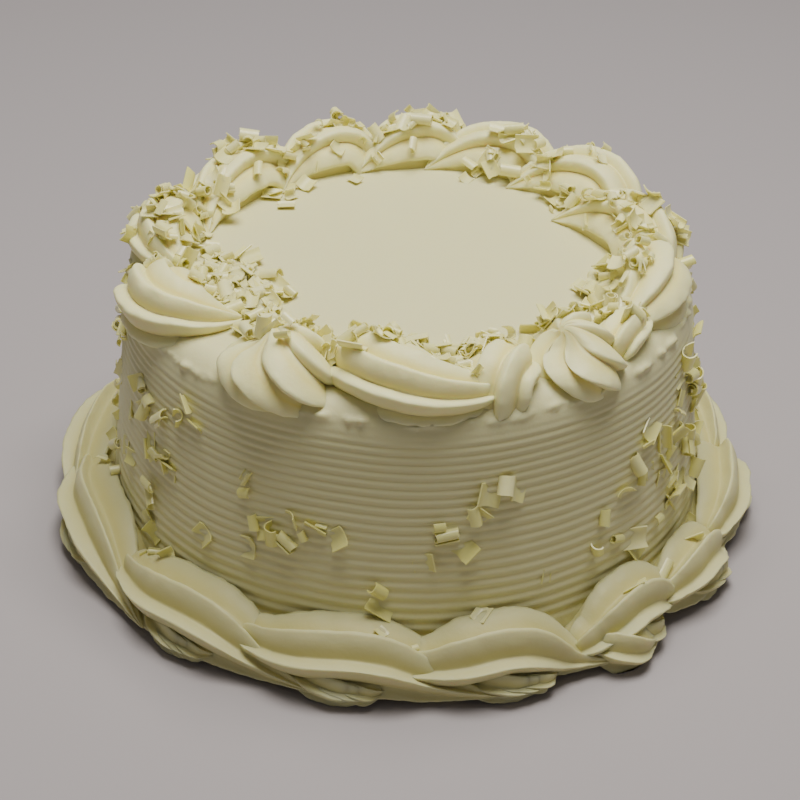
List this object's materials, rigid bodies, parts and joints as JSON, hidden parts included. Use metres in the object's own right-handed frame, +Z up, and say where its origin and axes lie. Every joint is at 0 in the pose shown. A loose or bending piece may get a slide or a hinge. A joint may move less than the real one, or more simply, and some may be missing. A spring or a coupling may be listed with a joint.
{
  "type": "vanilla layer cake",
  "caption": "Round vanilla cake in pale cream, with a combed side, piped swirls round the top, a piped shell border at the foot and white chocolate curls.",
  "frame": {"origin": "middle of the flat base that the cake stands on", "axes": "+Z up; -Y is the side that faces the camera in the picture; +X is to the right in the picture"},
  "size_m": [0.2358, 0.235, 0.1077],
  "materials": {
    "cream": "soft whipped cream, faintly glossy"
  },
  "bodies": {
    "root": {"cake_body": "cream", "top_swirl_01": "cream", "top_swirl_02": "cream", "top_swirl_03": "cream", "top_swirl_04": "cream", "top_swirl_05": "cream", "top_swirl_06": "cream", "top_swirl_07": "cream", "top_swirl_08": "cream", "top_swirl_09": "cream", "top_swirl_10": "cream", "top_swirl_11": "cream", "top_swirl_12": "cream", "top_swirl_13": "cream", "top_swirl_14": "cream", "foot_shell_01": "cream", "foot_shell_02": "cream", "foot_shell_03": "cream", "foot_shell_04": "cream", "foot_shell_05": "cream", "foot_shell_06": "cream", "foot_shell_07": "cream", "foot_shell_08": "cream", "foot_shell_09": "cream", "foot_shell_10": "cream", "foot_shell_11": "cream", "foot_shell_12": "cream", "foot_shell_13": "cream"}
  },
  "joints": []
}
